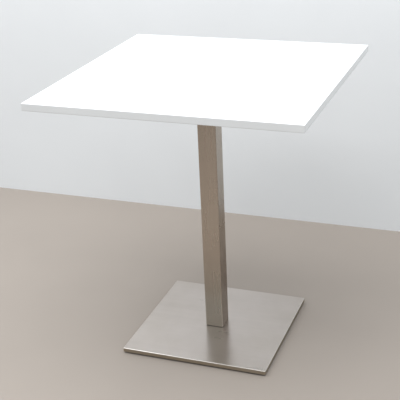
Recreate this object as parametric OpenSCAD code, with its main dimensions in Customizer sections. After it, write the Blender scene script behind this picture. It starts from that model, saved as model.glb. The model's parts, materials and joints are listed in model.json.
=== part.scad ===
// Bistro table: a square laminated top on a square steel column and a flat ballasted base.
// Millimetres, +Z up. The origin is on the floor under the middle of the column,
// +X runs along the front edge and +Y points to the back.

/* [Table top] */
// Side of the square top, edge banding included
top_side = 680; // [500:5:800]
// Height of the top surface above the floor
table_h = 740; // [600:5:1100]
// Thickness of the top, laminates included
top_t = 18; // [18:1:30]
// Thickness of the laminate on each face
laminate_t = 1; // [0.6:0.1:1.5]
// Thickness of the edge banding
band_t = 2; // [1:0.5:3]

/* [Spider] */
// Thickness of the cross-shaped mounting plate
spider_t = 6; // [5:0.5:8]
// Length of each arm from the middle of the column to its tip
arm_l = 190; // [180:5:230]
// Width of each arm
arm_w = 40; // [30:1:50]
// Side of the square hub where the arms meet
hub_side = 96; // [80:1:120]
// Distances from the middle at which each arm takes a screw into the top
arm_holes = [100, 172]; // [80:1:200]

/* [Column] */
// Outer side of the square column tube
column_side = 50; // [45:1:70]
// Wall of the column tube
column_wall = 1.5; // [1.2:0.1:3]
// Outer corner radius of the column tube
column_r = 3.2; // [3:0.1:6]
// Thickness of the plates welded into the ends of the tube
end_plate_t = 10; // [10:1:14]
// Thickness of the dark gasket under the tube
gasket_t = 1.2; // [0.8:0.1:2]
// How far the gasket stands back from the faces of the tube
gasket_inset = 1; // [0.5:0.1:2]

/* [Base] */
// Side of the square base
base_side = 400; // [350:5:500]
// Height of the upper face of the base above the floor
base_h = 15.5; // [14.5:0.5:17]
// Height of the folded skirt of the cover
skirt_h = 11; // [10:0.1:12]
// Thickness of the stainless cover
cover_t = 1; // [0.8:0.1:1.2]
// Outer radius of the folds of the cover
fold_r = 1.4; // [1.3:0.1:2]
// Thickness of the ballast plate
ballast_t = 8; // [7:0.5:9]
// Gap between the edge of the ballast plate and the cover
ballast_gap = 0.8; // [0.5:0.1:2]

/* [Glides] */
// Distance of each glide from the two nearest sides of the base
glide_inset = 28; // [20:1:60]
// Diameter of the nylon pad
pad_d = 24; // [20:1:30]
// Height of the nylon pad
pad_h = 4.2; // [4:0.1:5]
// Diameter of the flange that the pad is snapped over
flange_d = 14; // [12:0.5:16]
// Thickness of that flange
flange_t = 1.2; // [1:0.1:2]

/* [Fasteners] */
// Nominal diameter of the base, spider and glide threads
big_thread_d = 8; // [6:1:8]
// Nominal diameter of the screws into the top
small_thread_d = 6; // [5:1:6]
// Offset of the four end plate screws from the middle, along X and along Y
screw_offset = 14; // [12:0.5:15]
// Radial clearance between a screw and what it goes into
fit_gap = 0.05; // [0.02:0.01:0.1]
// Clearance round a countersunk head and round the inserts in the board
loose_gap = 0.15; // [0.1:0.05:0.3]

/* [Hidden] */
$fn = 96;

// Heights of the layers of the top
top_z = table_h - top_t;
core_z = top_z + laminate_t;
core_t = top_t - 2 * laminate_t;
board_side = top_side - 2 * band_t;

// Threaded inserts and the screws that hold the top to the spider
insert_l = 12;
insert_d = 10;
insert_ridge_h = 1;
insert_core_d = 9;
insert_chip_room = 2;
washer_d = 14;
washer_t = 1.2;
button_d = 10.5;
button_h = 3.3;
top_screw_l = 18;
small_hole_d = small_thread_d + 0.6;

// Heights along the column
spider_z = top_z - spider_t;
gasket_z = base_h;
tube_z = gasket_z + gasket_t;
tube_l = spider_z - tube_z;
tube_bore = column_side - 2 * column_wall;
end_plate_r = column_r - column_wall + 0.4;

// Countersunk screws: a 90 degree head, as wide as twice the thread
csk_d = 2 * big_thread_d;
csk_h = (csk_d - big_thread_d) / 2;
spider_screw_l = 16;
big_hole_d = big_thread_d + 1;
socket_across = 5;
socket_depth = 3;

// Heights in the base
skirt_z = base_h - skirt_h;
ballast_z = base_h - cover_t - ballast_t;
ballast_side = base_side - 2 * cover_t - 2 * ballast_gap;
base_screw_l = base_h + gasket_t + end_plate_t - 1 - ballast_z;

// Glides: the stud ends just under the cover and the flange sits inside the pad
glide_at = base_side / 2 - glide_inset;
flange_z = 1.2;
flange_play = 0.1;
stud_top_z = base_h - cover_t - 0.5;
glide_socket_across = 4;
glide_socket_depth = 3.2;
pad_mouth_d = 8;
pad_chamfer = 0.6;
tip_chamfer = 0.7;
eps = 0.01;

// A block centred on the Z axis with upright corners of radius r
module rounded_block(side_x, side_y, h, r) {
    translate([-side_x / 2, r - side_y / 2, 0]) cube([side_x, side_y - 2 * r, h]);
    translate([r - side_x / 2, -side_y / 2, 0]) cube([side_x - 2 * r, side_y, h]);
    for (sx = [-1, 1], sy = [-1, 1])
        translate([sx * (side_x / 2 - r), sy * (side_y / 2 - r), 0]) cylinder(r = r, h = h);
}

// A bar along Y whose two upper edges are rounded to radius r
module arched_bar(width, length, h, r) {
    rotate([90, 0, 0])
        linear_extrude(height = length, center = true) {
            translate([-width / 2, 0]) square([width, h - r]);
            translate([r - width / 2, 0]) square([width - 2 * r, h]);
            for (s = [-1, 1]) translate([s * (width / 2 - r), h - r]) circle(r = r);
        }
}

// Copies its children to the four corners of a square of half side d
module at_four(d) {
    for (sx = [-1, 1], sy = [-1, 1]) translate([sx * d, sy * d, 0]) children();
}

// Copies its children to the screw places along the four diagonal arms
module at_arm_holes() {
    for (turn = [45:90:315], d = arm_holes) rotate([0, 0, turn]) translate([d, 0, 0]) children();
}

// A screw shank that stands on z = 0, with a chamfered tip
module shank(d, l) {
    cylinder(d = d, h = l - tip_chamfer);
    translate([0, 0, l - tip_chamfer - eps])
        cylinder(d1 = d, d2 = d - 2 * tip_chamfer, h = tip_chamfer + eps);
}

// A countersunk screw with its flat head at z = 0, pointing up
module countersunk_screw(l) {
    difference() {
        union() {
            shank(big_thread_d, l);
            cylinder(d1 = csk_d, d2 = big_thread_d, h = csk_h);
        }
        translate([0, 0, -eps])
            cylinder(d = socket_across / cos(30), h = socket_depth + eps, $fn = 6);
    }
}

// The hole that such a screw goes through, from its flat head up
module countersunk_hole(depth) {
    translate([0, 0, -eps]) cylinder(d = big_hole_d, h = depth + 2 * eps);
    translate([0, 0, -loose_gap])
        cylinder(d1 = csk_d + 4 * loose_gap, d2 = big_thread_d + 4 * loose_gap, h = csk_h);
}

// A tapped hole of the big thread, from z = 0 up
module tapped_hole(depth) {
    translate([0, 0, -eps]) cylinder(d = big_thread_d + 2 * fit_gap, h = depth + 2 * eps);
}

// The holes for the inserts, from height z up
module insert_holes(z, depth) {
    translate([0, 0, z - eps]) at_arm_holes() cylinder(d = insert_d + 2 * loose_gap, h = depth + 2 * eps);
}

module core_board() {
    color("burlywood") difference() {
        translate([-board_side / 2, -board_side / 2, core_z]) cube([board_side, board_side, core_t]);
        insert_holes(core_z, insert_l - laminate_t + insert_chip_room);
    }
}

module top_laminate() {
    color("white")
        translate([-board_side / 2, -board_side / 2, core_z + core_t])
            cube([board_side, board_side, laminate_t]);
}

module backing_laminate() {
    color("whitesmoke") difference() {
        translate([-board_side / 2, -board_side / 2, top_z]) cube([board_side, board_side, laminate_t]);
        insert_holes(top_z, laminate_t);
    }
}

// A strip of edge banding of the given length, its outer face at y = 0, running to -X and +X
module edge_band(l) {
    color("gainsboro") translate([-l / 2, 0, top_z]) cube([l, band_t, top_t]);
}

module threaded_inserts() {
    color("darkkhaki") translate([0, 0, top_z]) at_arm_holes() difference() {
        union() {
            cylinder(d = insert_core_d, h = insert_l);
            for (z = [0:2 * insert_ridge_h:insert_l - 2 * insert_ridge_h])
                translate([0, 0, z + insert_ridge_h / 2]) cylinder(d = insert_d, h = insert_ridge_h);
        }
        translate([0, 0, -eps]) cylinder(d = small_thread_d + 2 * fit_gap, h = insert_l + 2 * eps);
    }
}

module spider_plate() {
    color("dimgray") difference() {
        translate([0, 0, spider_z]) union() {
            rounded_block(hub_side, hub_side, spider_t, 8);
            for (turn = [45, 135]) rotate([0, 0, turn]) {
                translate([arm_w / 2 - arm_l, -arm_w / 2, 0])
                    cube([2 * arm_l - arm_w, arm_w, spider_t]);
                for (s = [-1, 1]) translate([s * (arm_l - arm_w / 2), 0, 0])
                    cylinder(d = arm_w, h = spider_t);
            }
        }
        translate([0, 0, spider_z - eps]) at_arm_holes() cylinder(d = small_hole_d, h = spider_t + 2 * eps);
        translate([0, 0, top_z]) mirror([0, 0, 1]) at_four(screw_offset) countersunk_hole(spider_t);
    }
}

module spider_screws() {
    color("silver") translate([0, 0, top_z]) mirror([0, 0, 1])
        at_four(screw_offset) countersunk_screw(spider_screw_l);
}

module top_screws() {
    head_z = spider_z - washer_t - button_h;
    color("silver") translate([0, 0, head_z]) at_arm_holes() difference() {
        union() {
            cylinder(d1 = button_d - 3, d2 = button_d, h = button_h / 2);
            translate([0, 0, button_h / 2]) cylinder(d = button_d, h = button_h / 2);
            translate([0, 0, button_h - eps]) shank(small_thread_d, top_screw_l + eps);
        }
        translate([0, 0, -eps])
            cylinder(d = glide_socket_across / cos(30), h = button_h / 2 + 1, $fn = 6);
    }
}

module top_screw_washers() {
    color("lightgray") translate([0, 0, spider_z - washer_t]) at_arm_holes() difference() {
        cylinder(d = washer_d, h = washer_t);
        translate([0, 0, -eps]) cylinder(d = small_hole_d, h = washer_t + 2 * eps);
    }
}

module column_tube() {
    color("rosybrown") translate([0, 0, tube_z]) difference() {
        rounded_block(column_side, column_side, tube_l, column_r);
        translate([0, 0, -eps])
            rounded_block(tube_bore, tube_bore, tube_l + 2 * eps, column_r - column_wall);
    }
}

// A plate that closes one end of the tube and takes four screws
module end_plate() {
    difference() {
        rounded_block(tube_bore, tube_bore, end_plate_t, end_plate_r);
        at_four(screw_offset) tapped_hole(end_plate_t);
    }
}

module column_head_plate() {
    color("slategray") translate([0, 0, spider_z - end_plate_t]) end_plate();
}

module column_foot_plate() {
    color("slategray") translate([0, 0, tube_z]) end_plate();
}

module column_foot_gasket() {
    side = column_side - 2 * gasket_inset;
    color("black") translate([0, 0, gasket_z]) difference() {
        rounded_block(side, side, gasket_t, column_r - gasket_inset);
        at_four(screw_offset) translate([0, 0, -eps]) cylinder(d = big_hole_d, h = gasket_t + 2 * eps);
    }
}

// A folded tray, open below, with rounded folds and upright corners
module base_cover() {
    room = base_side - 2 * cover_t;
    color("silver") translate([0, 0, skirt_z]) difference() {
        intersection() {
            rounded_block(base_side, base_side, skirt_h, fold_r);
            arched_bar(base_side, base_side + 2, skirt_h, fold_r);
            rotate([0, 0, 90]) arched_bar(base_side, base_side + 2, skirt_h, fold_r);
        }
        translate([-room / 2, -room / 2, -eps]) cube([room, room, skirt_h - cover_t + eps]);
        at_four(screw_offset) cylinder(d = big_hole_d, h = skirt_h + eps);
    }
}

module ballast_plate() {
    color("darkslategray") translate([0, 0, ballast_z]) difference() {
        rounded_block(ballast_side, ballast_side, ballast_t, fold_r);
        at_four(screw_offset) countersunk_hole(ballast_t);
        at_four(glide_at) tapped_hole(ballast_t);
    }
}

module base_screws() {
    color("silver") translate([0, 0, ballast_z]) at_four(screw_offset) countersunk_screw(base_screw_l);
}

// The stud of a glide, with its flange and a socket that is reached through the pad
module glide_screw() {
    color("silver") translate([0, 0, flange_z]) difference() {
        union() {
            cylinder(d = flange_d, h = flange_t);
            shank(big_thread_d, stud_top_z - flange_z);
        }
        translate([0, 0, -eps])
            cylinder(d = glide_socket_across / cos(30), h = glide_socket_depth + eps, $fn = 6);
    }
}

// The nylon pad of a glide: a chamfered disc with a mouth below and a pocket for the flange
module glide_pad() {
    color("black") difference() {
        union() {
            cylinder(d1 = pad_d - 2 * pad_chamfer, d2 = pad_d, h = pad_chamfer + eps);
            translate([0, 0, pad_chamfer]) cylinder(d = pad_d, h = pad_h - pad_chamfer);
        }
        translate([0, 0, -eps]) cylinder(d = pad_mouth_d, h = pad_h);
        translate([0, 0, flange_z - flange_play])
            cylinder(d = flange_d + 2 * flange_play, h = flange_t + 2 * flange_play);
        cylinder(d = big_thread_d + 2 * fit_gap, h = pad_h + eps);
    }
}

// Moves a glide to one corner of the base: side is -1 or 1 along X, depth -1 or 1 along Y
module at_corner(side, depth) {
    translate([side * glide_at, depth * glide_at, 0]) children();
}

core_board();
top_laminate();
backing_laminate();
translate([0, -top_side / 2, 0]) edge_band(top_side);  // edge_band_front
translate([0, top_side / 2 - band_t, 0]) edge_band(top_side);  // edge_band_back
translate([band_t - top_side / 2, 0, 0]) rotate([0, 0, 90]) edge_band(board_side);  // edge_band_left
translate([top_side / 2, 0, 0]) rotate([0, 0, 90]) edge_band(board_side);  // edge_band_right
threaded_inserts();
spider_plate();
spider_screws();
top_screws();
top_screw_washers();
column_tube();
column_head_plate();
column_foot_plate();
column_foot_gasket();
base_cover();
ballast_plate();
base_screws();
at_corner(-1, -1) glide_screw();  // glide_screw_front_left
at_corner(1, -1) glide_screw();  // glide_screw_front_right
at_corner(-1, 1) glide_screw();  // glide_screw_back_left
at_corner(1, 1) glide_screw();  // glide_screw_back_right
at_corner(-1, -1) glide_pad();  // glide_pad_front_left
at_corner(1, -1) glide_pad();  // glide_pad_front_right
at_corner(-1, 1) glide_pad();  // glide_pad_back_left
at_corner(1, 1) glide_pad();  // glide_pad_back_right
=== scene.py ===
import json
from math import cos, pi, radians, sin

import bmesh
import bpy
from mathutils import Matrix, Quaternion, Vector


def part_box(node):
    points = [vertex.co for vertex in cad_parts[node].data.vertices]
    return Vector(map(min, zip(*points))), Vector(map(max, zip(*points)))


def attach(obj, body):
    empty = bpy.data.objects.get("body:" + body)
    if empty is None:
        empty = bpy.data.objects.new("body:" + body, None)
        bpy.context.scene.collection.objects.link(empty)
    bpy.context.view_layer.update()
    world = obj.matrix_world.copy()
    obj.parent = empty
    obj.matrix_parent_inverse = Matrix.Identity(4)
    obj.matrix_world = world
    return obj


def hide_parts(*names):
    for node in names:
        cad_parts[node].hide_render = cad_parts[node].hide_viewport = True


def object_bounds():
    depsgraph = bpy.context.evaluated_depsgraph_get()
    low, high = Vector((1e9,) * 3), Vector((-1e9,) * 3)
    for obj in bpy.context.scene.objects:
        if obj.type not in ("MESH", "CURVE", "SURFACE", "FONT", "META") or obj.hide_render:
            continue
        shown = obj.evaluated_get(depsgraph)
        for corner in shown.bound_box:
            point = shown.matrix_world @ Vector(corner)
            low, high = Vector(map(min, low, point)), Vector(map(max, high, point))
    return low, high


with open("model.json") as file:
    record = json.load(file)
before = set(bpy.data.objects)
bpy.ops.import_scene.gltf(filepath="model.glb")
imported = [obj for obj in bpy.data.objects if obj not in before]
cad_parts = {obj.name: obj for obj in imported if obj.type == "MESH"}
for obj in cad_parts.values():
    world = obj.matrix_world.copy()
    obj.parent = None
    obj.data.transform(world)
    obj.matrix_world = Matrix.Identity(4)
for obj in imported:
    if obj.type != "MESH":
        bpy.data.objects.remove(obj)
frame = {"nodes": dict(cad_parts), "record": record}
cad_low, cad_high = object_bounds()
cad_centre = (cad_low + cad_high) / 2

MM = 0.001
CORNERS = ("front_left", "front_right", "back_left", "back_right")
BODY_OF = {node: body for body, nodes in frame["record"]["behaviour"]["bodies"].items() for node in nodes}

# ---------------------------------------------------------------- shapes

RING_STEPS = 12  # steps round each quarter of a ring
RIM_STEPS = 4  # steps round each rounded rim
TINY = 0.01 * MM  # the smallest radius, and the slack when heights are compared
MERGE = 0.0001 * MM  # points nearer than this are one
SMOOTH_ANGLE = radians(35)  # edges sharper than this stay sharp


def square_ring(half_x, half_y, corner, z):
    """A closed ring at height z: a rectangle of those half sizes with round corners.
    With corner equal to both half sizes it is a circle."""
    points = []
    for quarter in range(4):
        side_x = 1 if quarter in (0, 3) else -1
        side_y = 1 if quarter in (0, 1) else -1
        for step in range(RING_STEPS + 1):
            angle = (quarter + step / RING_STEPS) * pi / 2
            x = side_x * (half_x - corner) + corner * cos(angle)
            y = side_y * (half_y - corner) + corner * sin(angle)
            points.append(Vector((x, y, z)))
    return points


def circle_ring(radius, z):
    return square_ring(radius, radius, radius, z)


def turned_ring(z, radius_at):
    """A ring at height z whose radius is a function of the angle, with a circle's points."""
    points = []
    for p in circle_ring(1.0, 0.0):
        angle = Vector((p.x, p.y)).angle_signed(Vector((1, 0)), 0.0)
        points.append(Vector((p.x, p.y, 0)) * radius_at(angle) + Vector((0, 0, z)))
    return points


def hexagon_ring(across_flats, z):
    """A hexagon with as many points as a circle_ring, so that the two can be joined."""
    return turned_ring(z, lambda a: across_flats / 2 / cos((a + pi / 6) % (pi / 3) - pi / 6))


def rim_profile(low_z, high_z, edge):
    """(inset, height) pairs up a wall whose two rims are rounded to radius edge."""
    angles = [step / RIM_STEPS * pi / 2 for step in range(RIM_STEPS + 1)]
    lower = [(edge * (1 - sin(a)), low_z + edge * (1 - cos(a))) for a in angles]
    upper = [(edge * (1 - sin(a)), high_z - edge * (1 - cos(a))) for a in reversed(angles)]
    return lower + upper


def placed(rings, place, over=False):
    """The rings moved to a place, turned over about X first if over is set."""
    side = -1 if over else 1
    return [[Vector((p.x, side * p.y, side * p.z)) + Vector(place) for p in ring] for ring in rings]


def loft(mesh, rings, caps=(False, False), loop=False):
    """Adds a skin over rings of equal length, with a flat cap on the first and last if asked."""
    made = [[mesh.verts.new(p) for p in ring] for ring in rings]
    pairs = list(zip(made, made[1:]))
    if loop:
        pairs.append((made[-1], made[0]))
    for low, high in pairs:
        for i in range(len(low)):
            j = (i + 1) % len(low)
            mesh.faces.new((low[i], low[j], high[j], high[i]))
    if caps[0]:
        mesh.faces.new(list(reversed(made[0])))
    if caps[1]:
        mesh.faces.new(made[-1])


def plate(mesh, walls):
    """A flat plate from its walls: the rings of its outer side and of each hole, all from one
    height to the other in the same order."""
    for rings in walls:
        loft(mesh, rings)
    bmesh.ops.remove_doubles(mesh, verts=mesh.verts, dist=MERGE)
    rims = [edge for edge in mesh.edges if edge.is_boundary]
    for ring in (walls[0][0], walls[0][-1]):
        level = [edge for edge in rims if abs(edge.verts[0].co.z - ring[0].z) < TINY]
        bmesh.ops.triangle_fill(mesh, use_beauty=True, edges=level)


def slab(low, high, edge, corner, soft=(1, 1, 1, 1)):
    """The wall of a block with rounded rims. soft scales the rounding at its -X, +X, -Y and +Y sides."""
    rings = []
    for inset, z in rim_profile(low.z, high.z, edge):
        left, right, front, back = [inset * share for share in soft]
        half_x = (high.x - right - low.x - left) / 2
        half_y = (high.y - back - low.y - front) / 2
        middle = (low.x + left + half_x, low.y + front + half_y, 0)
        rings += placed([square_ring(half_x, half_y, max(corner - inset, TINY), z)], middle)
    return rings


def hole(radius, low_z, high_z, edge, place):
    """The wall of a round hole whose rims are rounded off."""
    rings = [circle_ring(radius + inset, z) for inset, z in rim_profile(low_z, high_z, edge)]
    return placed(rings, place)


def washer(mesh, radius, bore, low_z, high_z, edge, place):
    outer = [circle_ring(radius - inset, z) for inset, z in rim_profile(low_z, high_z, edge)]
    loft(mesh, placed(outer, place) + hole(bore, low_z, high_z, edge, place)[::-1], loop=True)


def piece(name, mesh, material, *nodes):
    """Turns a bmesh into an object that stands for the CAD nodes and rides on the first one's body."""
    bmesh.ops.remove_doubles(mesh, verts=mesh.verts, dist=MERGE)
    bmesh.ops.dissolve_degenerate(mesh, edges=mesh.edges, dist=MERGE)
    bmesh.ops.recalc_face_normals(mesh, faces=mesh.faces)
    for face in mesh.faces:
        face.smooth = True
    for edge in mesh.edges:
        edge.smooth = edge.calc_face_angle(0.0) < SMOOTH_ANGLE
    data = bpy.data.meshes.new(name)
    mesh.to_mesh(data)
    mesh.free()
    made = bpy.data.objects.new(name, data)
    bpy.context.scene.collection.objects.link(made)
    data.materials.append(material)
    shading = made.modifiers.new("even_shading", "WEIGHTED_NORMAL")
    shading.keep_sharp = True
    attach(made, BODY_OF[nodes[0]])
    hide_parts(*nodes)
    return made


# ---------------------------------------------------------------- sizes that the frame's boxes don't give

ARM_WIDTH = 40 * MM  # the arms of the spider
HUB_SIDE = 96 * MM
HUB_FILLET = 9 * MM
DIAGONAL = 2 ** 0.5  # of a square with a side of 1
ARM_SCREWS = (100 * MM, 172 * MM)  # along each arm, from the middle
END_SCREWS = 14 * MM  # along X and along Y, from the middle
BIG_THREAD, BIG_PITCH = 8 * MM, 1.25 * MM
SMALL_THREAD, SMALL_PITCH = 6 * MM, 1.0 * MM
BIG_HOLE = BIG_THREAD / 2 + 0.5 * MM
SMALL_HOLE = SMALL_THREAD / 2 + 0.3 * MM
BIG_SOCKET = (5 * MM, 3 * MM)  # across its flats, and deep
SMALL_SOCKET = (4 * MM, 2.2 * MM)
GLIDE_SOCKET = (4 * MM, 3.2 * MM)
BUTTON_RADIUS = 5.25 * MM
WASHER_RADIUS = 7 * MM
FLANGE_RADIUS, FLANGE_HEIGHT = 7 * MM, 1.2 * MM  # of the stud of a glide
HEAD_ROOM = 0.3 * MM  # round a countersunk head
RUNNING_GAP = 0.05 * MM  # round a stud in its tapped hole
TUBE_CORNER = 3.2 * MM
GASKET_CORNER = 2 * MM
SHEET = 1.0 * MM  # of the base cover
FOLD = 1.4 * MM  # outer radius of its folds


def arm_places(z):
    """Where the screws through the arms of the spider are."""
    return [(distance * cos(turn), distance * sin(turn), z)
            for turn in [(quarter + 0.5) * pi / 2 for quarter in range(4)] for distance in ARM_SCREWS]


def end_places(z):
    """Where the screws into the two ends of the column are."""
    return [(x, y, z) for x in (-END_SCREWS, END_SCREWS) for y in (-END_SCREWS, END_SCREWS)]


def glide_place(corner):
    """The middle of the foot of that corner's glide."""
    low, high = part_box("glide_pad_" + corner)
    return Vector(((low.x + high.x) / 2, (low.y + high.y) / 2, low.z))


def countersunk_hole(low_z, high_z, place, from_above):
    """The wall of a hole for a countersunk screw."""
    head = BIG_THREAD + HEAD_ROOM
    depth = head - BIG_HOLE
    if from_above:
        profile = [(BIG_HOLE, low_z), (BIG_HOLE, high_z - depth), (head, high_z)]
    else:
        profile = [(head, low_z), (BIG_HOLE, low_z + depth), (BIG_HOLE, high_z)]
    return placed([circle_ring(radius, z) for radius, z in profile], place)


# ---------------------------------------------------------------- screws

SOCKET_BEVEL = 0.25 * MM
THREAD_RINGS = 6  # rings in each turn of a thread
DOME_STEPS = 6  # steps up the dome of a button head


def socket(across, depth):
    """Rings of a hexagon socket, from its floor at z = depth out to its rim at z = 0."""
    wide = across + 2 * SOCKET_BEVEL
    return [hexagon_ring(across, depth), hexagon_ring(across, SOCKET_BEVEL), hexagon_ring(wide, 0.0)]


def thread(diameter, pitch, low_z, high_z):
    """Rings of a right-handed thread that runs up from low_z, and the chamfered tip at high_z."""
    depth = 0.6 * pitch
    tip_z = high_z - depth

    def groove(z, angle):
        ends = min(1.0, (z - low_z) / pitch, (tip_z - z) / (0.5 * pitch))
        return depth * ends * abs(2 * ((z / pitch - angle / (2 * pi)) % 1) - 1)

    steps = int((tip_z - low_z) / pitch * THREAD_RINGS) + 1
    heights = [low_z + (tip_z - low_z) * step / steps for step in range(steps + 1)]
    rings = [turned_ring(z, lambda a, z=z: diameter / 2 - groove(z, a)) for z in heights]
    return rings + [circle_ring(diameter / 2 - depth, high_z)]


def countersunk_screw(mesh, length, place, over=False):
    """A big screw that stands on its flat head, which is twice as wide as its thread."""
    rim = 0.2 * MM
    neck = BIG_THREAD / 2
    head = [circle_ring(BIG_THREAD - 2 * rim, 0.0), circle_ring(BIG_THREAD - rim, 0.7 * rim)]
    rings = socket(*BIG_SOCKET) + head + [circle_ring(neck, neck)]
    rings += thread(BIG_THREAD, BIG_PITCH, neck + BIG_PITCH, length)
    loft(mesh, placed(rings, place, over), caps=(True, True))


def button_screw(mesh, head_height, length, place):
    """A small screw that stands on the flat of its domed head."""
    flat = 0.62 * BUTTON_RADIUS
    dome_height = 0.78 * head_height
    rim = 0.15 * MM
    plain_length = 2.5 * SMALL_PITCH
    rings = socket(*SMALL_SOCKET)
    for step in range(DOME_STEPS + 1):
        angle = step / DOME_STEPS * pi / 2
        radius = flat + (BUTTON_RADIUS - flat) * sin(angle)
        rings.append(circle_ring(radius, dome_height * (1 - cos(angle))))
    rings.append(circle_ring(BUTTON_RADIUS, head_height - rim))
    rings.append(circle_ring(BUTTON_RADIUS - rim, head_height))
    rings.append(circle_ring(SMALL_THREAD / 2, head_height))
    rings += thread(SMALL_THREAD, SMALL_PITCH, head_height + plain_length, length)
    loft(mesh, placed(rings, place), caps=(True, True))


# ---------------------------------------------------------------- materials


class Material:
    """A node material round one Principled shader, with short ways to add to it."""

    def __init__(self, name, **values):
        self.material = bpy.data.materials.new(name)
        self.material.use_nodes = True
        self.tree = self.material.node_tree
        self.shader = self.tree.nodes["Principled BSDF"]
        for socket_name, value in values.items():
            self.shader.inputs[socket_name.replace("_", " ")].default_value = value
        self.place = self.add("ShaderNodeTexCoord").outputs["Object"]

    def add(self, kind, settings=(), **links):
        """A new node. Each link names an input and what feeds it: an output or a value."""
        node = self.tree.nodes.new(kind)
        for key, value in dict(settings).items():
            setattr(node, key, value)
        for socket_name, source in links.items():
            self.feed(node.inputs[socket_name.replace("_", " ")], source)
        return node

    def feed(self, target, source):
        if isinstance(source, bpy.types.NodeSocket):
            self.tree.links.new(source, target)
        else:
            target.default_value = source

    def noise(self, scale, detail=2.0, roughness=0.5, stretch=(1, 1, 1), shift=0.0):
        """Noise from 0 to 1. stretch multiplies the scale along X, Y and Z."""
        moved = self.add("ShaderNodeMapping", Vector=self.place, Scale=stretch, Location=(shift,) * 3)
        node = self.add("ShaderNodeTexNoise", Vector=moved.outputs[0], Scale=scale, Detail=detail)
        self.feed(node.inputs["Roughness"], roughness)
        return node.outputs["Fac"]

    def spread(self, value, low=0.0, high=1.0, near=0.3, far=0.7):
        """Maps a value from near..far to low..high."""
        node = self.add("ShaderNodeMapRange", Value=value, From_Min=near, From_Max=far)
        self.feed(node.inputs["To Min"], low)
        self.feed(node.inputs["To Max"], high)
        return node.outputs[0]

    def sum(self, *values):
        total = values[0]
        for value in values[1:]:
            node = self.add("ShaderNodeMath", {"operation": "ADD"})
            self.feed(node.inputs[0], total)
            self.feed(node.inputs[1], value)
            total = node.outputs[0]
        return total

    def absolute(self, vector):
        node = self.add("ShaderNodeVectorMath", {"operation": "ABSOLUTE"})
        self.feed(node.inputs[0], vector)
        return node.outputs[0]

    def mix(self, share, first, second, blend="MIX"):
        """A colour between two colours. The colours of this node are its inputs 6 and 7 and output 2."""
        node = self.add("ShaderNodeMix", {"data_type": "RGBA", "blend_type": blend})
        self.feed(node.inputs[0], share)
        self.feed(node.inputs[6], first)
        self.feed(node.inputs[7], second)
        return node.outputs[2]

    def stain(self, share, paint, tint):
        """The colour with a share of it multiplied by a tint."""
        return self.mix(share, paint, tint, "MULTIPLY")

    def bump(self, height, depth, strength):
        """Relief of that depth in metres."""
        return self.add("ShaderNodeBump", Height=height, Distance=depth, Strength=strength).outputs[0]

    def set(self, **links):
        for socket_name, source in links.items():
            self.feed(self.shader.inputs[socket_name.replace("_", " ")], source)
        return self.material


COLUMN_STEEL = (0.46, 0.40, 0.34)
BASE_STEEL = (0.61, 0.56, 0.525)
GRAIN_STRETCH = 0.012  # scale of the grain of steel along its lines, as a share of that across them
# painted shade line along the lower rim of the edge banding
RIM_SHADE_TINT = (0.8, 0.79, 0.78, 1)
# painted shade at the column's foot: greyer on the front and back, darker brown on the sides
FOOT_SHADE_GREY_TINT = (0.97, 1.04, 1.06, 1)
FOOT_SHADE_BROWN_TINT = (0.55, 0.51, 0.465, 1)
# painted highlight on the column's corners near the foot
CORNER_HIGHLIGHT_TINT = (1.56, 1.67, 1.75, 1)
# darkens soft blotches and the two sides of the base
BLOTCH_AND_SIDE_TINT = (0.87, 0.865, 0.84, 1)
# painted highlight along the folds of the base
FOLD_HIGHLIGHT_TINT = (1.48, 1.57, 1.62, 1)
# painted shade on the skirt of the base
SKIRT_SHADE_TINT = (0.63, 0.59, 0.48, 1)


def tone(colour, factor):
    return tuple(min(1.0, c * factor) for c in colour[:3]) + (1.0,)


def white_laminate():
    """Satin white laminate with the fine pearl texture of a worktop."""
    m = Material("white_laminate", Specular_IOR_Level=0.45)
    pearl = m.noise(1400, detail=1.0)
    variation = m.noise(9, detail=4.0, roughness=0.6)
    colour = m.mix(m.spread(variation), (0.885, 0.895, 0.905, 1), (0.915, 0.922, 0.93, 1))
    relief = m.bump(pearl, 0.02 * MM, 0.6)
    return m.set(Base_Color=colour, Roughness=m.spread(variation, 0.36, 0.47), Normal=relief)


def backing_laminate():
    """Matt off-white paper laminate."""
    m = Material("backing_laminate")
    paper = m.noise(500, detail=3.0, stretch=(1, 4, 1))
    patch = m.noise(6, detail=3.0)
    colour = m.mix(m.spread(patch), (0.70, 0.70, 0.68, 1), (0.76, 0.76, 0.745, 1))
    relief = m.bump(paper, 0.03 * MM, 0.5)
    return m.set(Base_Color=colour, Roughness=m.spread(paper, 0.55, 0.7), Normal=relief)


def edge_banding():
    """Satin plastic banding with a slight orange peel and a painted shade line along its lower rim."""
    m = Material("edge_banding")
    peel = m.noise(900, detail=2.0)
    patch = m.noise(14, detail=3.0)
    unshaded = m.mix(m.spread(patch), (0.865, 0.888, 0.902, 1), (0.895, 0.918, 0.932, 1))
    height = m.add("ShaderNodeSeparateXYZ", Vector=m.place).outputs["Z"]
    rim_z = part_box("edge_band_front")[0].z
    # painted shade: darker over the lowest two millimetres of the banding
    rim_shade = m.spread(height, 1.0, 0.0, rim_z + 0.9 * MM, rim_z + 1.8 * MM)
    colour = m.stain(rim_shade, unshaded, RIM_SHADE_TINT)
    relief = m.bump(peel, 0.02 * MM, 0.5)
    return m.set(Base_Color=colour, Roughness=m.spread(patch, 0.33, 0.43), Normal=relief)


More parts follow.
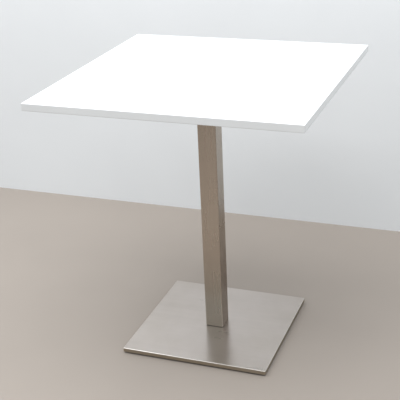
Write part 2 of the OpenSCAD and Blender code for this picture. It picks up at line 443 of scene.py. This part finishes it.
def brushed_steel(name, along, tangent, colour, roughness, variation):
    """Stainless steel whose grain runs along axis 0, 1 or 2. tangent gives an output that runs across the
    grain, and the last argument puts marks and painted shade and highlights over the colour."""
    m = Material(name, Metallic=1.0, Anisotropic=0.72)
    across = Vector([1.0 if axis != along else GRAIN_STRETCH for axis in range(3)])
    hair = m.noise(2600, detail=2.0, stretch=across)
    streak = m.noise(70, detail=2.0, stretch=across, shift=3.0)
    cloud = m.noise(7, detail=2.0, roughness=0.5, shift=7.0)
    lines = m.sum(m.spread(hair, -0.06, 0.06), m.spread(streak, -0.2, 0.2))
    share = m.sum(lines, m.spread(cloud, 0.35, 0.65))
    paint = m.mix(share, tone(colour, 0.95), tone(colour, 1.05))
    rough = m.sum(m.spread(cloud, roughness - 0.01, roughness + 0.01), m.spread(streak, -0.006, 0.006))
    m.set(Roughness=rough, Normal=m.bump(hair, 0.004 * MM, 0.5), Tangent=tangent(m))
    # the function passed last adds marks and painted shade and highlights to the colour
    return m.set(Base_Color=variation(m, paint, cloud))


def column_painted_light(m, paint, cloud):
    """Painted shade towards the foot: greyer on the front and back, darker brown on the two sides, with
    a painted highlight on the corners near the foot."""
    height = m.add("ShaderNodeSeparateXYZ", Vector=m.place).outputs["Z"]
    facing = m.absolute(m.add("ShaderNodeTexCoord").outputs["Normal"])
    side = m.add("ShaderNodeSeparateXYZ", Vector=facing).outputs["X"]
    patches = m.spread(cloud, -0.1, 0.1)

    def painted_towards_foot(tint, full_z, gone_z):
        return m.stain(m.sum(m.spread(height, 1.0, 0.0, full_z, gone_z), patches), paint, tint)

    # painted shade towards the foot, and a painted highlight on the corners
    grey = painted_towards_foot(FOOT_SHADE_GREY_TINT, 0.06, 0.26)
    brown = painted_towards_foot(FOOT_SHADE_BROWN_TINT, 0.04, 0.50)
    painted_highlight = painted_towards_foot(CORNER_HIGHLIGHT_TINT, 0.03, 0.20)
    corner = m.mix(m.spread(side, 0.0, 1.0, 0.15, 0.45), grey, painted_highlight)
    return m.mix(m.spread(side, 0.0, 1.0, 0.8, 0.97), corner, brown)


def base_painted_light_and_blotches(m, paint, cloud):
    """Soft blotches and a darkening towards the two sides, a painted highlight along the folds and
    painted shade on the skirt below them.
    """
    axes = m.add("ShaderNodeSeparateXYZ", Vector=m.absolute(m.place)).outputs
    top_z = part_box("base_cover")[1].z
    blotch = m.noise(11, detail=3.0, roughness=0.55, shift=11.0)
    # darker towards the two sides, plus soft blotches
    share = m.sum(m.spread(axes["X"], 0.1, 0.6, 0.04, 0.2), m.spread(blotch, -0.3, 0.3))
    top = m.stain(share, paint, BLOTCH_AND_SIDE_TINT)
    # painted highlight along the top of each fold
    painted_highlight = m.spread(axes["Z"], 1.0, 0.0, top_z - 0.15 * MM, top_z - 0.02 * MM)
    fold = m.stain(painted_highlight, top, FOLD_HIGHLIGHT_TINT)
    # painted shade: a darker, browner skirt
    skirt = m.stain(m.spread(cloud, 0.8, 1.0), paint, SKIRT_SHADE_TINT)
    return m.mix(m.spread(axes["Z"], 0.0, 1.0, top_z - 1.8 * MM, top_z - 0.8 * MM), skirt, fold)


def tangent_round_column(m):
    return m.add("ShaderNodeTangent", {"direction_type": "RADIAL", "axis": "Z"}).outputs[0]


def tangent_over_base(m):
    """Across a grain that runs along X on the top and down the two side folds."""
    grain = (1.0, 0.0, 0.02)  # its small Z part counts only where the surface faces along X
    normal = m.add("ShaderNodeNewGeometry").outputs["Normal"]
    node = m.add("ShaderNodeVectorMath", {"operation": "CROSS_PRODUCT"})
    m.feed(node.inputs[0], normal)
    m.feed(node.inputs[1], grain)
    return node.outputs[0]


def powder_coat():
    """Fine-textured black powder coat."""
    m = Material("black_powder_coat")
    grit = m.noise(1100, detail=3.0, roughness=0.6)
    patch = m.noise(20, detail=2.0)
    colour = m.mix(m.spread(patch), (0.018, 0.018, 0.019, 1), (0.03, 0.03, 0.031, 1))
    relief = m.bump(grit, 0.08 * MM, 0.8)
    return m.set(Base_Color=colour, Roughness=m.spread(grit, 0.42, 0.62), Normal=relief)


def zinc_plate():
    """Bright zinc plating with the cloudiness that it has."""
    m = Material("zinc_plate", Metallic=1.0)
    cloud = m.noise(220, detail=4.0)
    colour = m.mix(m.spread(cloud), (0.55, 0.57, 0.60, 1), (0.70, 0.71, 0.72, 1))
    relief = m.bump(cloud, 0.02 * MM, 0.4)
    return m.set(Base_Color=colour, Roughness=m.spread(cloud, 0.24, 0.42), Normal=relief)


def yellow_zinc():
    m = Material("yellow_zinc", Metallic=1.0)
    cloud = m.noise(260, detail=4.0)
    colour = m.mix(m.spread(cloud), (0.62, 0.50, 0.24, 1), (0.70, 0.64, 0.42, 1))
    return m.set(Base_Color=colour, Roughness=m.spread(cloud, 0.28, 0.45))


def mill_steel():
    """Hot-rolled steel plate with its dark scale."""
    m = Material("mill_steel", Metallic=0.9)
    scale = m.noise(90, detail=5.0, roughness=0.65)
    colour = m.mix(m.spread(scale), (0.09, 0.09, 0.095, 1), (0.24, 0.235, 0.23, 1))
    relief = m.bump(scale, 0.05 * MM, 0.5)
    return m.set(Base_Color=colour, Roughness=m.spread(scale, 0.45, 0.7), Normal=relief)


def black_rubber():
    m = Material("black_rubber")
    dust = m.noise(700, detail=3.0)
    colour = m.mix(m.spread(dust), (0.012, 0.012, 0.012, 1), (0.028, 0.027, 0.026, 1))
    relief = m.bump(dust, 0.03 * MM, 0.5)
    return m.set(Base_Color=colour, Roughness=m.spread(dust, 0.65, 0.85), Normal=relief)


def black_nylon():
    """Moulded nylon with a fine grain and scuffs."""
    m = Material("black_nylon")
    grain = m.noise(1500, detail=2.0)
    scuff = m.noise(120, detail=4.0, stretch=(1, 3, 1))
    colour = m.mix(m.spread(scuff), (0.02, 0.02, 0.02, 1), (0.05, 0.05, 0.048, 1))
    relief = m.bump(grain, 0.03 * MM, 0.6)
    return m.set(Base_Color=colour, Roughness=m.spread(scuff, 0.42, 0.6), Normal=relief)


def particle_board():
    """Pressed wood chips."""
    m = Material("particle_board")
    chip = m.add("ShaderNodeTexVoronoi", Vector=m.place, Scale=700.0).outputs["Color"]
    share = m.add("ShaderNodeSeparateColor", Color=chip).outputs[0]
    colour = m.mix(share, (0.42, 0.28, 0.15, 1), (0.70, 0.54, 0.35, 1))
    rough = m.spread(share, 0.75, 0.95, 0.0, 1.0)
    relief = m.bump(share, 0.2 * MM, 0.5)
    return m.set(Base_Color=colour, Roughness=rough, Normal=relief)


def stage_paint(name, colour, roughness):
    """The floor and the backdrop: plain, with only the faint unevenness of paint."""
    m = Material(name, Roughness=roughness, Specular_IOR_Level=0.25)
    m.set(Base_Color=m.mix(m.spread(m.noise(3)), tone(colour, 0.985), tone(colour, 1.015)))
    return m


# ---------------------------------------------------------------- table top


def make_top():
    white = white_laminate()
    band = edge_banding()
    low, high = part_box("top_laminate")
    sheet = bmesh.new()
    plate(sheet, [slab(low, high, edge=0.08 * MM, corner=0.2 * MM)])
    piece("top_surface", sheet, white, "top_laminate")
    joint = 0.15  # share of the rounding where a strip meets the board or another strip
    soft_sides = {"front": (1, 1, 1, joint), "back": (1, 1, joint, 1),
                  "left": (1, joint, joint, joint), "right": (joint, 1, joint, joint)}
    for side, soft in soft_sides.items():
        node = "edge_band_" + side
        low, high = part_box(node)
        strip = bmesh.new()
        plate(strip, [slab(low, high, edge=0.6 * MM, corner=0.7 * MM, soft=soft)])
        piece("edge_strip_" + side, strip, band, node)


# ---------------------------------------------------------------- spider


FILLET_STEPS = 6


def arc(start, corner, end):
    """Points on the curve that cuts a corner."""
    shares = [step / FILLET_STEPS for step in range(FILLET_STEPS + 1)]
    return [start * (1 - s) ** 2 + corner * 2 * s * (1 - s) + end * s ** 2 for s in shares]


def cross_ring(half_hub, half_arm, tip, z):
    """A closed ring: a square hub with round-ended arms on its diagonals, with fillets at their roots."""
    points = []
    for quarter in range(4):
        turn = (quarter + 0.5) * pi / 2
        along = Vector((cos(turn), sin(turn), 0))
        left = Vector((-sin(turn), cos(turn), 0))
        root = half_hub * DIAGONAL - half_arm
        first = along * root - left * half_arm
        second = along * root + left * half_arm
        side_in = (along + left).normalized() * HUB_FILLET
        side_out = (left - along).normalized() * HUB_FILLET
        points += arc(first - side_in, first, first + along * HUB_FILLET)
        for step in range(RING_STEPS * 2 + 1):
            angle = (step / RING_STEPS - 1) * pi / 2
            points.append(along * (tip + half_arm * cos(angle)) + left * half_arm * sin(angle))
        points += arc(second + along * HUB_FILLET, second, second + side_out)
    return [p + Vector((0, 0, z)) for p in points]


def make_spider():
    low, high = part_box("spider_plate")
    half_arm = ARM_WIDTH / 2
    tip = (high.x - half_arm) * DIAGONAL
    edge = 0.9 * MM
    burr = 0.2 * MM
    outside = [cross_ring(HUB_SIDE / 2 - inset, half_arm - inset, tip, z)
               for inset, z in rim_profile(low.z, high.z, edge)]
    walls = [outside]
    walls += [hole(SMALL_HOLE, low.z, high.z, burr, place) for place in arm_places(0)]
    walls += [countersunk_hole(low.z, high.z, place, from_above=True) for place in end_places(0)]
    cross = bmesh.new()
    plate(cross, walls)
    piece("spider_cross", cross, powder_coat(), "spider_plate")


def make_spider_fasteners():
    zinc = zinc_plate()
    low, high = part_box("spider_screws")
    screws = bmesh.new()
    for place in end_places(high.z):
        countersunk_screw(screws, high.z - low.z, place, over=True)
    piece("spider_csk_screws", screws, zinc, "spider_screws")
    low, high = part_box("top_screw_washers")
    rings = bmesh.new()
    for place in arm_places(0):
        washer(rings, WASHER_RADIUS, SMALL_HOLE, low.z, high.z, 0.25 * MM, place)
    piece("arm_washers", rings, zinc, "top_screw_washers")
    head_height = low.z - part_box("top_screws")[0].z
    low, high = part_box("top_screws")
    screws = bmesh.new()
    for place in arm_places(low.z):
        button_screw(screws, head_height, high.z - low.z, place)
    piece("arm_button_screws", screws, zinc, "top_screws")


# ---------------------------------------------------------------- column


def make_column():
    low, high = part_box("column_tube")
    half = high.x
    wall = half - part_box("column_foot_plate")[1].x
    burr = 0.3 * MM
    profile = [
        (half - burr, TUBE_CORNER - burr, low.z),
        (half, TUBE_CORNER, low.z + burr),
        (half, TUBE_CORNER, high.z - burr),
        (half - burr, TUBE_CORNER - burr, high.z),
        (half - wall, TUBE_CORNER - wall, high.z),
        (half - wall, TUBE_CORNER - wall, low.z),
    ]
    tube = bmesh.new()
    loft(tube, [square_ring(h, h, c, z) for h, c, z in profile], loop=True)
    steel = brushed_steel("brushed_column_steel", along=2, tangent=tangent_round_column,
                          colour=COLUMN_STEEL, roughness=0.27, variation=column_painted_light)
    piece("column", tube, steel, "column_tube")


def make_gasket():
    """A rubber joint that bulges a little where the column presses on it."""
    low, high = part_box("column_foot_gasket")
    bulge = 0.3 * MM
    steps = 8
    outside = []
    for step in range(steps + 1):
        share = step / steps
        half = high.x - bulge * (1 - sin(share * pi))
        outside.append(square_ring(half, half, GASKET_CORNER, low.z + share * (high.z - low.z)))
    gasket = bmesh.new()
    plate(gasket, [outside] + [hole(BIG_HOLE, low.z, high.z, TINY, place) for place in end_places(0)])
    piece("foot_gasket", gasket, black_rubber(), "column_foot_gasket")


# ---------------------------------------------------------------- base


def tray_wall(half, low_z, high_z, radius, steps):
    """Rings up one skin of the cover, with the fold at its top rounded to a radius."""
    rings = [square_ring(half, half, radius, low_z)]
    for step in range(steps + 1):
        angle = step / steps * pi / 2
        inset = radius * (1 - cos(angle))
        corner = max(radius - inset, TINY)
        rings.append(square_ring(half - inset, half - inset, corner, high_z - radius * (1 - sin(angle))))
    return rings


def make_base():
    low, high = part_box("base_cover")
    outer = tray_wall(high.x, low.z, high.z, FOLD, steps=8)
    inner = tray_wall(high.x - SHEET, low.z, high.z - SHEET, FOLD - SHEET, steps=4)
    walls = [inner[::-1] + outer]
    walls += [hole(BIG_HOLE, high.z - SHEET, high.z, TINY, place) for place in end_places(0)]
    cover = bmesh.new()
    plate(cover, walls)
    steel = brushed_steel("brushed_base_steel", along=0, tangent=tangent_over_base,
                          colour=BASE_STEEL, roughness=0.285, variation=base_painted_light_and_blotches)
    piece("base_plate", cover, steel, "base_cover")


def make_ballast():
    low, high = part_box("ballast_plate")
    burr = 0.3 * MM
    walls = [slab(low, high, edge=0.7 * MM, corner=FOLD)]
    walls += [countersunk_hole(low.z, high.z, place, from_above=False) for place in end_places(0)]
    for corner in CORNERS:
        x, y, _ = glide_place(corner)
        walls.append(hole(BIG_THREAD / 2 + RUNNING_GAP, low.z, high.z, burr, (x, y, 0)))
    ballast = bmesh.new()
    plate(ballast, walls)
    piece("ballast_slab", ballast, powder_coat(), "ballast_plate")
    low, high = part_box("base_screws")
    screws = bmesh.new()
    for place in end_places(low.z):
        countersunk_screw(screws, high.z - low.z, place)
    piece("base_csk_screws", screws, zinc_plate(), "base_screws")


# ---------------------------------------------------------------- glides


def glide_pad(radius, height, flange_z):
    """Rings round a nylon pad: up its outside, then down through its bore, the pocket that holds the
    flange at height flange_z, and its mouth."""
    bore = BIG_THREAD / 2 + RUNNING_GAP
    mouth = BIG_THREAD / 2
    rim = 0.2 * MM
    edge = 0.5 * MM
    play = 0.1 * MM
    pocket = FLANGE_RADIUS + play
    roof_z = flange_z + FLANGE_HEIGHT + play
    outer = [circle_ring(radius - inset, z) for inset, z in rim_profile(0.0, height, edge)]
    inner = [(bore + rim, height), (bore, height - rim), (bore, roof_z), (pocket, roof_z),
             (pocket, flange_z - play), (mouth, flange_z - play), (mouth, rim), (mouth + rim, 0.0)]
    return outer + [circle_ring(r, z) for r, z in inner]


def glide_screw(length):
    """Rings of a flanged stud that stands on its flange, with a hexagon socket from below."""
    rim = 0.15 * MM
    neck = BIG_THREAD / 2 - 0.3 * MM
    rings = socket(*GLIDE_SOCKET)
    rings += [circle_ring(FLANGE_RADIUS - inset, z) for inset, z in rim_profile(0.0, FLANGE_HEIGHT, rim)]
    rings.append(circle_ring(neck, FLANGE_HEIGHT))
    return rings + thread(BIG_THREAD, BIG_PITCH, FLANGE_HEIGHT + 0.5 * BIG_PITCH, length)


def make_glides():
    nylon = black_nylon()
    zinc = zinc_plate()
    for corner in CORNERS:
        foot = glide_place(corner)
        _, pad_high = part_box("glide_pad_" + corner)
        screw_low, screw_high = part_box("glide_screw_" + corner)
        pad = bmesh.new()
        rings = glide_pad(pad_high.x - foot.x, pad_high.z - foot.z, screw_low.z - foot.z)
        loft(pad, placed(rings, foot), loop=True)
        piece("glide_foot_" + corner, pad, nylon, "glide_pad_" + corner)
        stud = bmesh.new()
        rings = glide_screw(screw_high.z - screw_low.z)
        loft(stud, placed(rings, (foot.x, foot.y, screw_low.z)), caps=(True, True))
        piece("glide_stud_" + corner, stud, zinc, "glide_screw_" + corner)


# ---------------------------------------------------------------- carried-over CAD nodes


def dress_nodes():
    """Materials for the CAD nodes that stay as they are."""
    finishes = {
        backing_laminate(): ["backing_laminate"],
        particle_board(): ["core_board"],
        yellow_zinc(): ["threaded_inserts"],
        mill_steel(): ["column_head_plate", "column_foot_plate"],
    }
    for material, nodes in finishes.items():
        for node in nodes:
            for node_slot in frame["nodes"][node].material_slots:
                node_slot.material = material


# ---------------------------------------------------------------- stage, light and camera

WALL_GAP = 0.412  # between the back of the table top and the backdrop
WALL_Y = cad_high.y + WALL_GAP
FLOOR_COLOUR = (0.40, 0.355, 0.317)
WALL_COLOUR = (0.845, 0.876, 0.902)


def flat_panel(name, corners, material):
    mesh = bmesh.new()
    mesh.faces.new([mesh.verts.new(c) for c in corners])
    data = bpy.data.meshes.new(name)
    mesh.to_mesh(data)
    mesh.free()
    made = bpy.data.objects.new(name, data)
    bpy.context.scene.collection.objects.link(made)
    data.materials.append(material)


def one_sided(m):
    """Lets a surface be seen only from its front, so that a view from behind looks through it."""
    both = m.add("ShaderNodeMixShader")
    m.feed(both.inputs[0], m.add("ShaderNodeNewGeometry").outputs["Backfacing"])
    m.feed(both.inputs[1], m.shader.outputs[0])
    m.feed(both.inputs[2], m.add("ShaderNodeBsdfTransparent").outputs[0])
    m.feed(m.tree.nodes["Material Output"].inputs["Surface"], both.outputs[0])


def make_stage():
    z = cad_low.z
    reach = 6.0
    top = 3.2
    floor = stage_paint("pale_floor", FLOOR_COLOUR, 0.6)
    ground = [(-reach, -reach, z), (reach, -reach, z), (reach, reach, z), (-reach, reach, z)]
    flat_panel("floor", ground, floor.material)
    wall = stage_paint("pale_wall", WALL_COLOUR, 0.8)
    for paint in (floor, wall):
        one_sided(paint)
    upright = [(-reach, WALL_Y, z), (reach, WALL_Y, z), (reach, WALL_Y, top), (-reach, WALL_Y, top)]
    flat_panel("backdrop", upright, wall.material)


def soft_box(name, place, aim, size, watts):
    data = bpy.data.lights.new(name, "AREA")
    data.shape = "RECTANGLE"
    data.size, data.size_y = size
    data.energy = watts
    made = bpy.data.objects.new(name, data)
    bpy.context.scene.collection.objects.link(made)
    made.location = place
    made.rotation_mode = "QUATERNION"
    made.rotation_quaternion = (Vector(aim) - Vector(place)).to_track_quat("-Z", "Y")


def make_light():
    world = bpy.data.worlds.new("soft_room")
    bpy.context.scene.world = world
    world.use_nodes = True
    sky = world.node_tree.nodes["Background"]
    sky.inputs["Color"].default_value = (0.95, 0.98, 1.0, 1)
    sky.inputs["Strength"].default_value = 0.62
    soft_box("ceiling", place=(-0.4, -0.55, 2.6), aim=(-0.4, -0.45, 0), size=(3.8, 1.9), watts=78)
    bpy.context.scene.view_settings.view_transform = "Standard"


def make_camera():
    data = bpy.data.cameras.new("camera")
    data.sensor_width = 36
    data.lens = 86.75
    made = bpy.data.objects.new("camera", data)
    bpy.context.scene.collection.objects.link(made)
    azimuth = radians(21.27)
    elevation = radians(23.33)
    roll = radians(-2.64)
    distance = 2.562
    aim = cad_centre + Vector((-0.0308, -0.012, 0.021))
    back = Vector((sin(azimuth) * cos(elevation), -cos(azimuth) * cos(elevation), sin(elevation)))
    made.location = aim + back * distance
    made.rotation_mode = "QUATERNION"
    made.rotation_quaternion = (-back).to_track_quat("-Z", "Y") @ Quaternion((0, 0, 1), roll)
    bpy.context.scene.camera = made


make_camera()
make_top()
make_spider()
make_spider_fasteners()
make_column()
make_gasket()
make_base()
make_ballast()
make_glides()
dress_nodes()
make_stage()
make_light()
